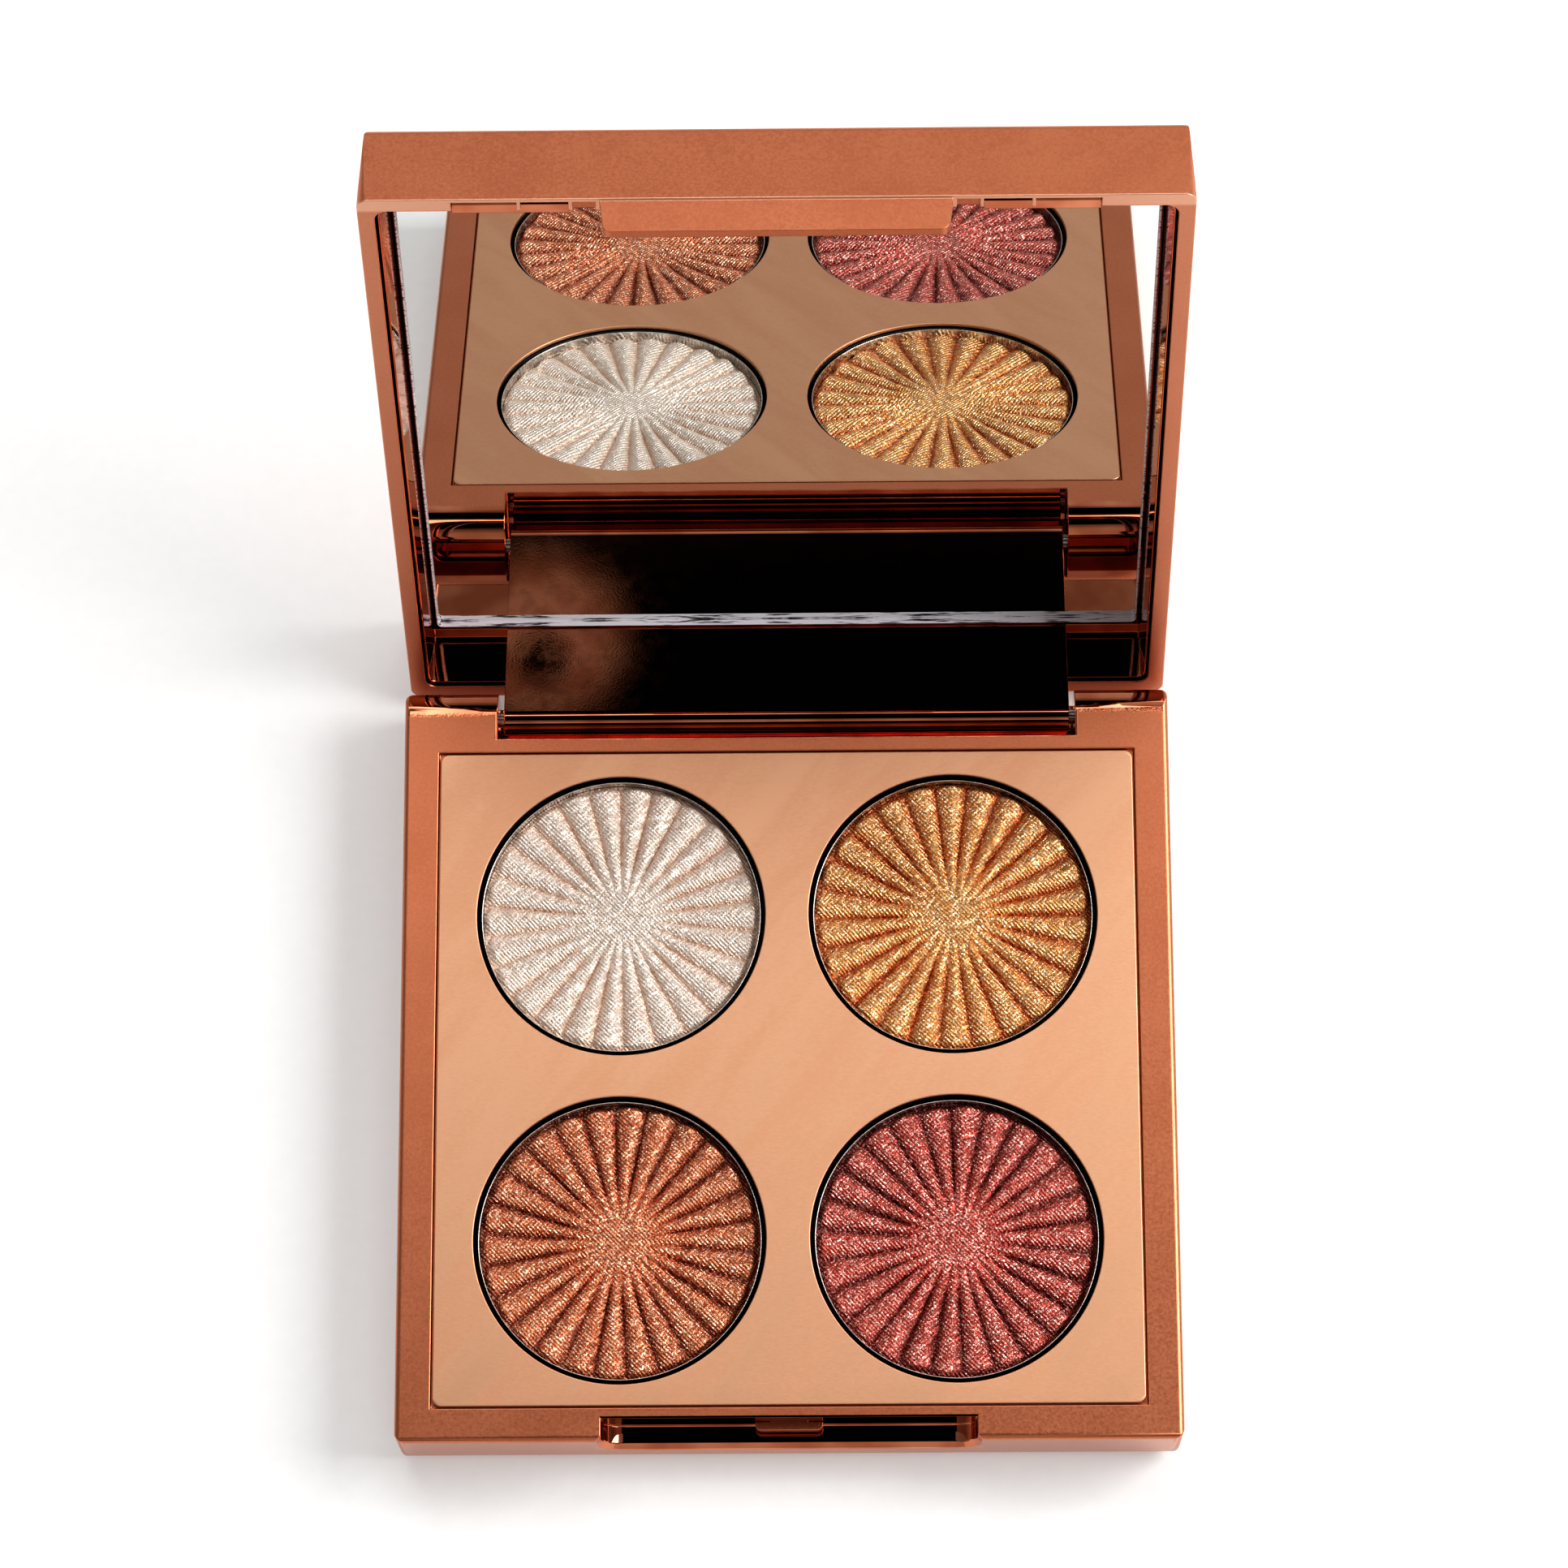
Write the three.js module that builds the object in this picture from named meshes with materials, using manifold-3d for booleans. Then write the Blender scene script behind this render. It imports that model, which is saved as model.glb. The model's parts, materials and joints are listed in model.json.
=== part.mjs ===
// Square powder compact with a hinged mirror lid, standing open.
//
// Millimetres. +X is the user's right, +Y points at the hinge, +Z is up. The origin is
// the middle of the base's flat underside. The lid is modelled shut, in a group whose
// origin is the hinge axis, and that group is then turned open.

import * as THREE from 'three';
import { mergeVertices } from 'three/addons/utils/BufferGeometryUtils.js';
import Module from 'manifold-3d';

const wasm = await Module();
wasm.setup();

// ---- Driving dimensions --------------------------------------------------------------

// Whole case
const HALF = 51; // half the side of the square plan
const CORNER = 1.5; // radius of the upright corners
const BASE_EDGE = 0.8; // softening round the top of the base
const LID_EDGE = 0.15; // the lid's rim is crisper
const PARTING_GAP = 0.3; // air between the base and the shut lid
const WALL = 2.1; // lid wall, and the width of its rim
const FIT = 0.3; // air between pieces of the lid

// Base
const BASE_TOP = 13.4;
const BASE_FLOOR = 2;
const BASE_BOTTOM_ROUND = 4;
const BASE_REAR_ROUND = 3.6; // lets the lid's rim swing past
const PLATE_SEAT = { halfX: 46.36, front: -46.56, back: 41.87, depth: 0.65 };
const PLATE_SHEET = 0.5;
const LEDGE = 1.5; // width of the ledge that the cover plate sits on

// Pans, two by two
const PAN_PITCH_X = 43.92;
const PAN_PITCH_Y = 43.77;
const PAN_CENTRE_Y = -2.26;
const HOLE_RADIUS = 19.1;
const TIN_RADIUS = 18.5;
const TIN_SHEET = 0.25;
const TIN_RIM = BASE_TOP - 0.65;
const TIN_SETBACK = 0.3; // the tins are glued in a little towards the front of their wells
const TIN_FOOT = 7.6;
const PETALS = 26;
const POWDER_TOP = BASE_TOP - 1.15;
const GROOVE_DEPTH = 0.35;
const WELL_RADIUS = 19.3;
const WELL_FLOOR = 7.1;

// Hinge
const HINGE_Y = 48.2;
const HINGE_Z = 7.55;
const OPEN_ANGLE = 108.6; // degrees between the base and the open lid
const BARREL_RADIUS = 2.1;
const BLOCK_HALF_WIDTH = 38;
const SLOT_HALF_WIDTH = 38.6;
const SLOT_FRONT = 43.8;
const SLOT_FLOOR = 3.6;
const PIN_RADIUS = 1;
const PIN_FROM = 34;
const PIN_TO = 44;

// Thumb notch in the base, and the tab that fills it when the lid is shut
const NOTCH = { halfWidth: 24.3, depth: 3, height: 5.6, corner: 3, chamfer: 0.7 };
const CATCH = { halfWidth: 4.4, front: -49.1, bottom: 8.9, top: 10.4, stem: 2.5 };
const TAB = {
  halfWidth: 21.6,
  tipHalfWidth: 20.9,
  front: -50.7,
  back: -49.5,
  bottom: 8.75,
  corner: 1.2,
};

// Lid, measured while shut
const LID_RIM = BASE_TOP + PARTING_GAP;
const LID_TOP = 25.95;
const LID_ROOF = 1.5;
const LID_DRAFT = 0.55;
const LID_TOP_ROUND = 1.2;
const LID_REAR_ROUND = 5;
const LID_INNER_CORNER = 1.6; // radius of the hollow's upright corners
const FRAME_RIM = LID_RIM + 0.5;
const FRAME_SLOPE = 0.5; // how far the frame's walls lean in from the rim to the mirror
const MIRROR = { halfX: 47.5, front: -47.5, back: 45.8, face: 21.5, thickness: 1.5 };
const RIM_LIP = 0.6; // left standing in front of the bays
const RIM_BAYS = [
  { from: 21.9, to: 24.75, depth: 0.35 },
  { from: 25.2, to: 31.05, depth: 1.3 },
  { from: 31.5, to: 39.5, depth: 1 },
];
const BAY_LEDGE = { from: 25.2, to: 39.5, back: -47.05, face: LID_RIM + 1.3 };

// ---- Materials -----------------------------------------------------------------------

const finish = (color, roughness, metalness) => ({ color, roughness, metalness });
const FINISHES = {
  satinRoseGold: finish(0xd98b66, 0.42, 0.9),
  polishedRoseGold: finish(0x8a4a32, 0.12, 1),
  peachSatin: finish(0xddaa80, 0.5, 0.7),
  blackPlastic: finish(0x141212, 0.5, 0),
  tinplate: finish(0xc9c4bc, 0.3, 1),
  glue: finish(0xe8e2c8, 0.6, 0),
  steel: finish(0xb9b6b0, 0.3, 1),
  mirror: finish(0xe6eaec, 0.03, 1),
  foamTape: finish(0xf2f0ea, 0.9, 0),
  label: finish(0xf4f1ec, 0.8, 0),
};
const SHADES = {
  pearl: finish(0xf1e4d8, 0.55, 0.25),
  gold: finish(0xd9ad7c, 0.55, 0.35),
  bronze: finish(0xa85a30, 0.5, 0.45),
  rosewood: finish(0x7e2b26, 0.5, 0.45),
};

// ---- Solids --------------------------------------------------------------------------

// A closed three.js geometry as a manifold-3d solid.
function solid(geometry) {
  const bare = geometry.index ? geometry.toNonIndexed() : geometry.clone();
  bare.deleteAttribute('normal');
  bare.deleteAttribute('uv');
  const merged = mergeVertices(bare, 1e-4);
  return new wasm.Manifold(
    new wasm.Mesh({
      numProp: 3,
      vertProperties: new Float32Array(merged.attributes.position.array),
      triVerts: new Uint32Array(merged.index.array),
    }),
  );
}

function toGeometry(shape) {
  const mesh = shape.getMesh();
  const geometry = new THREE.BufferGeometry();
  geometry.setAttribute('position', new THREE.BufferAttribute(mesh.vertProperties, 3));
  geometry.setIndex(new THREE.BufferAttribute(mesh.triVerts, 1));
  return geometry;
}

// An anticlockwise outline through corners [x, y, radius], each rounded by its radius.
function outline(corners) {
  const shape = new THREE.Shape();
  corners.forEach(([x, y, radius = 0], index) => {
    if (radius === 0) {
      if (index === 0) {
        shape.moveTo(x, y);
      } else {
        shape.lineTo(x, y);
      }
      return;
    }
    const here = new THREE.Vector2(x, y);
    const towards = (other) => new THREE.Vector2(other[0], other[1]).sub(here).normalize();
    const back = towards(corners.at(index - 1));
    const on = towards(corners[(index + 1) % corners.length]);
    const halfAngle = Math.acos(back.dot(on)) / 2;
    const middle = back.clone().add(on).normalize();
    const centre = here.clone().addScaledVector(middle, radius / Math.sin(halfAngle));
    const reach = radius / Math.tan(halfAngle);
    const start = here.clone().addScaledVector(back, reach).sub(centre);
    const end = here.clone().addScaledVector(on, reach).sub(centre);
    const turnsRight = back.cross(on) > 0;
    shape.absarc(centre.x, centre.y, radius, start.angle(), end.angle(), turnsRight);
  });
  return shape;
}

function rectangle(x0, y0, x1, y1, radius = 0) {
  return outline([[x0, y0, radius], [x1, y0, radius], [x1, y1, radius], [x0, y1, radius]]);
}

// Where a flat outline's own x, y and depth axes point in the model.
const DIRECTIONS = {
  x: new THREE.Matrix4().makeBasis(axis(0, 1, 0), axis(0, 0, 1), axis(1, 0, 0)),
  y: new THREE.Matrix4().makeBasis(axis(1, 0, 0), axis(0, 0, 1), axis(0, -1, 0)),
  z: new THREE.Matrix4(),
};

function axis(x, y, z) {
  return new THREE.Vector3(x, y, z);
}

// An outline pushed along x, y or z from one place to another. Outlines that run along x
// are drawn in (y, z), and outlines that run along y are drawn in (x, z).
function bar(shape, direction, from, to, arcSteps = 6) {
  const options = { depth: to - from, bevelEnabled: false, curveSegments: arcSteps };
  const geometry = new THREE.ExtrudeGeometry(shape, options);
  geometry.translate(0, 0, direction === 'y' ? -to : from);
  geometry.applyMatrix4(DIRECTIONS[direction]);
  return solid(geometry);
}

// A tool that chamfers the mouth of a recess whose outline is drawn in (x, z) and whose
// mouth is the wall at that y, facing -Y.
function flare(shape, wallY, size) {
  const options = {
    depth: 1,
    bevelThickness: size,
    bevelSize: size,
    bevelSegments: 1,
    curveSegments: 6,
  };
  const geometry = new THREE.ExtrudeGeometry(shape, options);
  geometry.applyMatrix4(DIRECTIONS.y);
  geometry.translate(0, wallY, 0);
  return solid(geometry);
}

function box(x0, y0, z0, x1, y1, z1) {
  return bar(rectangle(x0, y0, x1, y1), 'z', z0, z1);
}

// An upright disc at (x, y).
function disc(radius, x, y, z0, z1, sides) {
  const geometry = new THREE.CylinderGeometry(radius, radius, z1 - z0, sides);
  geometry.rotateX(Math.PI / 2);
  geometry.translate(x, y, (z0 + z1) / 2);
  return solid(geometry);
}

// A round bar along X on the hinge axis.
function hingeBar(radius, x0, x1, sides) {
  const geometry = new THREE.CylinderGeometry(radius, radius, x1 - x0, sides);
  geometry.rotateZ(Math.PI / 2);
  geometry.translate((x0 + x1) / 2, HINGE_Y, HINGE_Z);
  return solid(geometry);
}

function cut(body, tools) {
  return tools.reduce((left, tool) => left.subtract(tool), body);
}

// ---- Base ----------------------------------------------------------------------------

function panPlaces() {
  const names = Object.keys(SHADES);
  return names.map((shade, index) => ({
    shade,
    x: (index % 2 === 0 ? -0.5 : 0.5) * PAN_PITCH_X,
    y: PAN_CENTRE_Y + (index < 2 ? 0.5 : -0.5) * PAN_PITCH_Y,
  }));
}

// The outside of the base: its plan, its side view and its front view, each extruded, and
// what the three share.
function baseBlock() {
  const round = BASE_BOTTOM_ROUND;
  const sideView = outline([
    [-HALF, 0, round],
    [HALF, 0, round],
    [HALF, BASE_TOP, BASE_REAR_ROUND],
    [-HALF, BASE_TOP, BASE_EDGE],
  ]);
  const frontView = outline([
    [-HALF, 0, round],
    [HALF, 0, round],
    [HALF, BASE_TOP, BASE_EDGE],
    [-HALF, BASE_TOP, BASE_EDGE],
  ]);
  return bar(rectangle(-HALF, -HALF, HALF, HALF, CORNER), 'z', 0, BASE_TOP)
    .intersect(bar(sideView, 'x', -HALF, HALF, 10))
    .intersect(bar(frontView, 'y', -HALF, HALF));
}

function baseShell() {
  const seat = PLATE_SEAT;
  const seatFloor = BASE_TOP - seat.depth;
  const plateRecess = box(-seat.halfX, seat.front, seatFloor, seat.halfX, seat.back, BASE_TOP + 1);
  const hollow = box(
    -seat.halfX + LEDGE,
    seat.front + LEDGE,
    BASE_FLOOR,
    seat.halfX - LEDGE,
    seat.back - LEDGE,
    BASE_TOP + 1,
  );
  const hingeSlot = box(
    -SLOT_HALF_WIDTH,
    SLOT_FRONT,
    SLOT_FLOOR,
    SLOT_HALF_WIDTH,
    HALF + 1,
    BASE_TOP + 1,
  );
  const notchFloor = BASE_TOP - NOTCH.height;
  const notchView = outline([
    [-NOTCH.halfWidth, notchFloor, NOTCH.corner],
    [NOTCH.halfWidth, notchFloor, NOTCH.corner],
    [NOTCH.halfWidth, BASE_TOP + 1],
    [-NOTCH.halfWidth, BASE_TOP + 1],
  ]);
  const notch = bar(notchView, 'y', -HALF - 1, -HALF + NOTCH.depth);
  const notchMouth = flare(notchView, -HALF, NOTCH.chamfer);
  const stemPocket = box(
    -CATCH.stem - 0.05,
    -HALF + NOTCH.depth - 0.5,
    CATCH.bottom - 0.05,
    CATCH.stem + 0.05,
    -45.95,
    CATCH.top + 0.05,
  );
  const labelSeat = bar(rectangle(-30, -30, 30, 30, 2), 'z', -1, 0.3, 3);
  const boreEnd = PIN_TO + 0.5;
  const pinBores = [
    hingeBar(PIN_RADIUS + 0.1, -boreEnd, -BLOCK_HALF_WIDTH, 16),
    hingeBar(PIN_RADIUS + 0.1, BLOCK_HALF_WIDTH, boreEnd, 16),
  ];
  const recesses = [plateRecess, hollow, hingeSlot, notch, notchMouth, stemPocket, labelSeat];
  return cut(baseBlock(), [...recesses, ...pinBores]);
}

// A tray that carries the tins, cored out from below to an even thickness.
function panTray() {
  const gap = LEDGE + 0.2;
  const seat = PLATE_SEAT;
  const block = box(
    -seat.halfX + gap,
    seat.front + gap,
    BASE_FLOOR + 0.2,
    seat.halfX - gap,
    seat.back - gap,
    BASE_TOP - seat.depth - 0.15,
  );
  const wells = panPlaces().map(({ x, y }) => disc(WELL_RADIUS, x, y, WELL_FLOOR, BASE_TOP, 48));
  const cores = panPlaces().map(({ x, y }) => disc(WELL_RADIUS, x, y, 0, WELL_FLOOR - 1.5, 24));
  return cut(block, [...wells, ...cores]);
}

function coverPlate() {
  const seat = PLATE_SEAT;
  const gap = 0.25;
  const sheet = rectangle(
    -seat.halfX + gap,
    seat.front + gap,
    seat.halfX - gap,
    seat.back - gap,
    1,
  );
  const plate = bar(sheet, 'z', BASE_TOP - PLATE_SHEET, BASE_TOP, 4);
  return cut(plate, panPlaces().map(({ x, y }) => disc(HOLE_RADIUS, x, y, 0, BASE_TOP + 1, 64)));
}

// A shallow tinplate cup.
function tinPan() {
  const inside = TIN_RADIUS - TIN_SHEET;
  const profile = [
    [0, TIN_FOOT],
    [TIN_RADIUS - 0.5, TIN_FOOT],
    [TIN_RADIUS, TIN_FOOT + 0.5],
    [TIN_RADIUS, TIN_RIM],
    [inside, TIN_RIM],
    [inside, TIN_FOOT + TIN_SHEET],
    [0, TIN_FOOT + TIN_SHEET],
  ];
  const lathe = new THREE.LatheGeometry(profile.map(([r, z]) => new THREE.Vector2(r, z)), 48);
  lathe.rotateX(Math.PI / 2);
  return lathe;
}

// Pressed powder with a sunburst of petals. The grooves between the petals run out from
// the middle and die away there.
function powderCake() {
  const radius = TIN_RADIUS - TIN_SHEET - 0.1;
  const foot = TIN_FOOT + TIN_SHEET + 0.1;
  const rings = [0, 0.16, 0.4, 0.96, 1];
  const profile = [...rings.map((share) => [share * radius, POWDER_TOP]), [radius, foot], [0, foot]];
  const lathe = new THREE.LatheGeometry(
    profile.reverse().map(([r, z]) => new THREE.Vector2(r, z)),
    PETALS * 2,
  );
  lathe.rotateX(Math.PI / 2);
  const place = lathe.attributes.position;
  for (let index = 0; index < place.count; index += 1) {
    const [x, y, z] = [place.getX(index), place.getY(index), place.getZ(index)];
    const share = Math.hypot(x, y) / radius;
    const onTop = z > POWDER_TOP - 0.01;
    if (!onTop || share < 0.05) {
      continue;
    }
    const inGroove = Math.cos(Math.atan2(x, -y) * PETALS) < 0;
    const strength = THREE.MathUtils.smoothstep(share, 0.1, 0.4);
    const edgeDrop = share > 0.98 ? 0.3 : 0;
    place.setZ(index, z - edgeDrop - (inGroove ? GROOVE_DEPTH * strength : 0));
  }
  return lathe;
}

// The dried glue between a tin and the floor of its well.
function glueSpot() {
  return disc(9, 0, 0, WELL_FLOOR + 0.05, TIN_FOOT - 0.05, 24);
}

// The catch that the lid's tab closes over, with a stem let into the base's wall.
function latchCatch() {
  const wall = -HALF + NOTCH.depth;
  const plan = outline([
    [-CATCH.halfWidth, CATCH.front, 0.8],
    [CATCH.halfWidth, CATCH.front, 0.8],
    [CATCH.halfWidth, wall - 0.05],
    [CATCH.stem, wall - 0.05],
    [CATCH.stem, -46],
    [-CATCH.stem, -46],
    [-CATCH.stem, wall - 0.05],
    [-CATCH.halfWidth, wall - 0.05],
  ]);
  return bar(plan, 'z', CATCH.bottom, CATCH.top, 4);
}

// ---- Lid, shut -----------------------------------------------------------------------

// The outside of the lid, leaning in a little towards its top.
function lidBlock() {
  const inset = HALF - LID_DRAFT;
  const sideView = outline([
    [-HALF, LID_RIM, LID_EDGE],
    [HALF, LID_RIM, LID_EDGE],
    [HALF, LID_TOP, LID_REAR_ROUND],
    [-inset, LID_TOP, LID_TOP_ROUND],
  ]);
  const frontView = outline([
    [-HALF, LID_RIM, LID_EDGE],
    [HALF, LID_RIM, LID_EDGE],
    [inset, LID_TOP, LID_TOP_ROUND],
    [-inset, LID_TOP, LID_TOP_ROUND],
  ]);
  return bar(rectangle(-HALF, -HALF, HALF, HALF, CORNER), 'z', LID_RIM, LID_TOP)
    .intersect(bar(sideView, 'x', -HALF, HALF))
    .intersect(bar(frontView, 'y', -HALF, HALF));
}

// Shallow bays in the front rim, with thin ribs left standing between them.
function rimBays() {
  return RIM_BAYS.flatMap(({ from, to, depth }) =>
    [-1, 1].map((side) =>
      box(
        Math.min(side * from, side * to),
        -HALF + RIM_LIP,
        LID_RIM - 1,
        Math.max(side * from, side * to),
        -HALF + WALL + 0.1,
        LID_RIM + depth,
      ),
    ),
  );
}

// The frame's ledges behind the deeper bays.
function bayLedges(outer) {
  const { from, to, back, face } = BAY_LEDGE;
  const top = MIRROR.face - FIT;
  return [-1, 1].map((side) =>
    box(Math.min(side * from, side * to), -outer, face, Math.max(side * from, side * to), back, top),
  );
}

function lidCover() {
  const inner = HALF - WALL;
  const mouth = rectangle(-inner, -inner, inner, inner, LID_INNER_CORNER);
  const hollow = bar(mouth, 'z', LID_RIM - 1, LID_TOP - LID_ROOF, 5);
  const tabView = outline([
    [-TAB.tipHalfWidth, TAB.bottom, TAB.corner],
    [TAB.tipHalfWidth, TAB.bottom, TAB.corner],
    [TAB.halfWidth, LID_RIM + 1.5],
    [-TAB.halfWidth, LID_RIM + 1.5],
  ]);
  const tab = bar(tabView, 'y', TAB.front, TAB.back);
  return cut(lidBlock(), [hollow, ...rimBays()]).add(tab);
}

// The polished frame inside the lid. It surrounds the mirror, and its rear edge runs down
// into the hinge block, whose foot is the hinge barrel.
function lidFrame() {
  const outer = HALF - WALL - FIT;
  const mouth = outer - 0.25;
  const throat = mouth - FRAME_SLOPE;
  const top = LID_TOP - LID_ROOF - FIT;
  const ledge = MIRROR.face - 0.1;
  const outerCorner = LID_INNER_CORNER - FIT;
  const ringPlan = rectangle(-outer, -outer, outer, outer, outerCorner);
  const ring = bar(ringPlan, 'z', FRAME_RIM, top, 5);
  const funnelView = outline([
    [-mouth, FRAME_RIM - 1],
    [mouth, FRAME_RIM - 1],
    [mouth, FRAME_RIM],
    [throat, ledge],
    [-throat, ledge],
    [-mouth, FRAME_RIM],
  ]);
  const mouthPlan = rectangle(-mouth, -mouth, mouth, mouth, outerCorner - 0.2);
  const funnel = bar(funnelView, 'x', -HALF, HALF)
    .intersect(bar(funnelView, 'y', -HALF, HALF))
    .intersect(bar(mouthPlan, 'z', FRAME_RIM - 1, ledge, 5));
  const mirrorHole = box(-throat, -throat, LID_RIM, throat, HINGE_Y - BARREL_RADIUS, LID_TOP);
  const bayRelief = box(-BAY_LEDGE.to, -HALF, LID_RIM, BAY_LEDGE.to, -47, BAY_LEDGE.face);
  const blockView = outline([
    [HINGE_Y - BARREL_RADIUS, HINGE_Z - BARREL_RADIUS, BARREL_RADIUS - 0.01],
    [HINGE_Y + BARREL_RADIUS, HINGE_Z - BARREL_RADIUS, BARREL_RADIUS - 0.01],
    [HINGE_Y + BARREL_RADIUS, LID_RIM - FIT, 0.4],
    [outer, LID_RIM - FIT],
    [outer, ledge + 1],
    [HINGE_Y - BARREL_RADIUS, ledge + 1],
  ]);
  const block = bar(blockView, 'x', -BLOCK_HALF_WIDTH, BLOCK_HALF_WIDTH, 14);
  const bores = [
    hingeBar(PIN_RADIUS + 0.2, -BLOCK_HALF_WIDTH - 1, -PIN_FROM + 0.5, 16),
    hingeBar(PIN_RADIUS + 0.2, PIN_FROM - 0.5, BLOCK_HALF_WIDTH + 1, 16),
  ];
  const open = cut(ring, [funnel, mirrorHole, bayRelief]);
  const filled = bayLedges(outer).reduce((body, ledge) => body.add(ledge), open.add(block));
  return cut(filled, bores);
}

function mirrorGlass() {
  const { halfX, front, back, face, thickness } = MIRROR;
  return bar(rectangle(-halfX, front, halfX, back, 0.8), 'z', face, face + thickness, 3);
}

function mirrorTape() {
  const back = MIRROR.face + MIRROR.thickness;
  return box(-40, -40, back + FIT, 40, 38, LID_TOP - LID_ROOF - FIT);
}

// ---- Assembly ------------------------------------------------------------------------

function piece(name, geometry, look) {
  const mesh = new THREE.Mesh(geometry, new THREE.MeshStandardMaterial(look));
  mesh.name = name;
  return mesh;
}

const labelPlan = rectangle(-29.8, -29.8, 29.8, 29.8, 2);
const base = new THREE.Group();
base.add(
  piece('base_shell', toGeometry(baseShell()), FINISHES.satinRoseGold),
  piece('pan_tray', toGeometry(panTray()), FINISHES.blackPlastic),
  piece('cover_plate', toGeometry(coverPlate()), FINISHES.peachSatin),
  piece('latch_catch', toGeometry(latchCatch()), FINISHES.polishedRoseGold),
  piece('bottom_label', toGeometry(bar(labelPlan, 'z', 0, 0.2, 3)), FINISHES.label),
  piece('hinge_pin_left', toGeometry(hingeBar(PIN_RADIUS, -PIN_TO, -PIN_FROM, 16)), FINISHES.steel),
  piece('hinge_pin_right', toGeometry(hingeBar(PIN_RADIUS, PIN_FROM, PIN_TO, 16)), FINISHES.steel),
);
panPlaces().forEach(({ shade, x, y }) => {
  const pan = new THREE.Group();
  pan.position.set(x, y - TIN_SETBACK, 0);
  pan.add(
    piece(`tin_${shade}`, tinPan(), FINISHES.tinplate),
    piece(`powder_${shade}`, powderCake(), SHADES[shade]),
    piece(`glue_${shade}`, toGeometry(glueSpot()), FINISHES.glue),
  );
  base.add(pan);
});

const shutLid = new THREE.Group();
shutLid.position.set(0, -HINGE_Y, -HINGE_Z);
shutLid.add(
  piece('lid_cover', toGeometry(lidCover()), FINISHES.satinRoseGold),
  piece('lid_frame', toGeometry(lidFrame()), FINISHES.polishedRoseGold),
  piece('mirror_glass', toGeometry(mirrorGlass()), FINISHES.mirror),
  piece('mirror_tape', toGeometry(mirrorTape()), FINISHES.foamTape),
);
const openLid = new THREE.Group();
openLid.position.set(0, HINGE_Y, HINGE_Z);
openLid.rotation.x = -THREE.MathUtils.degToRad(OPEN_ANGLE);
openLid.add(shutLid);

const compact = new THREE.Group();
compact.add(base, openLid);

export default compact;
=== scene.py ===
"""Looks for a square powder compact that stands open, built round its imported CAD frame.

Lengths are millimetres until a mesh is made, and metres after that. Pieces of the lid are
drawn as if the lid were shut and are then turned open about the hinge, and materials on the
lid are laid out in the same shut position.
"""

import json
import math

import bpy
import numpy as np
from mathutils import Matrix, Vector, geometry


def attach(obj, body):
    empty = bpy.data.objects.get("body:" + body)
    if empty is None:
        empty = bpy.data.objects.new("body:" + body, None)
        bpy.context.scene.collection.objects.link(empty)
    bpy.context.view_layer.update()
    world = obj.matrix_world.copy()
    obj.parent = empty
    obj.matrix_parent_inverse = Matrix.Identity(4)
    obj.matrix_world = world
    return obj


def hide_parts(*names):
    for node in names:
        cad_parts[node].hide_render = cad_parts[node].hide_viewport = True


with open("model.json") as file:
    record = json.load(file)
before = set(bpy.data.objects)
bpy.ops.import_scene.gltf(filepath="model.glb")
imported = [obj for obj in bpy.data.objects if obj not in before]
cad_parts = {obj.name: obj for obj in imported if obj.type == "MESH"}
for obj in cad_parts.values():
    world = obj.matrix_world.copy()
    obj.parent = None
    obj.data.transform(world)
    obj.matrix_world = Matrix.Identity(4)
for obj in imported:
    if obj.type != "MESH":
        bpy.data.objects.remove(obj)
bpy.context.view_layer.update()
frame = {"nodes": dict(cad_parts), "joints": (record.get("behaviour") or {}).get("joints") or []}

# ---- Driving dimensions -----------------------------------------------------------------

MM = 0.001
SHADES = ("pearl", "gold", "bronze", "rosewood")

# Pressed powder
PETALS = 26
PETAL_STEPS = 14  # mesh columns across one petal
POWDER_RINGS = 84
PETAL_RISE = 0.75  # from the groove to the crown of a petal
EMBOSS_START = 0.13  # share of the radius where the petals begin to rise
EMBOSS_FULL = 0.5
PETAL_END = 0.99  # share of the radius where the petals round off
PETAL_ROUNDING = 1.8  # power that shapes a petal's crown from groove to groove
PETAL_SOFT_END = (-0.035, 0.015)  # where the end fades, in shares either side of it
GROOVE_SHADE_FROM = 0.25  # depth share below which a groove starts to get painted shade
CAKE_GROWTH = 0.16  # the cake is drawn this much wider than in CAD, nearly to its tin
INNER_SHARE = 0.02
FINE_RINGS = 16  # rings packed into the outer tenth, where the cake turns down
FINE_SHARES = (0.9, 0.907)  # last of the coarse rings and first of the fine ones
POWDER_EDGE_DROP = 0.3
POWDER_EDGE_START = 0.95
POWDER_UNEVEN = 0.035
UNEVEN_WAVES = 9
UNEVEN_LENGTHS = (1.2, 6.0)
PETAL_TURN = {"pearl": 7.9, "gold": 0.5, "bronze": 9.7, "rosewood": 8.8}  # degrees

# Tins, cover plate and mirror
TIN_SHEET = 0.13
TIN_FOOT_ROUND = 0.5
AXIS_RADIUS = 0.01  # lathe profiles start and end here
ROUND_STEPS = 128
HOLE_STEPS = 160
PLATE_EDGE = 0.14
PLATE_CORNER = 1.1
HOLE_RADIUS = 19.1
MIRROR_EDGE_WIDTH = 0.2
MIRROR_DEPTH = 0.95  # from the ground edge's front back to the silvering
MIRROR_CORNER = 0.8
MIRROR_CHAMFER = 0.08  # at the front of the ground edge
MIRROR_INNER_CHAMFER = 0.06
MIRROR_OVERLAP = 0.02  # of the pane under its ground edge

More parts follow.
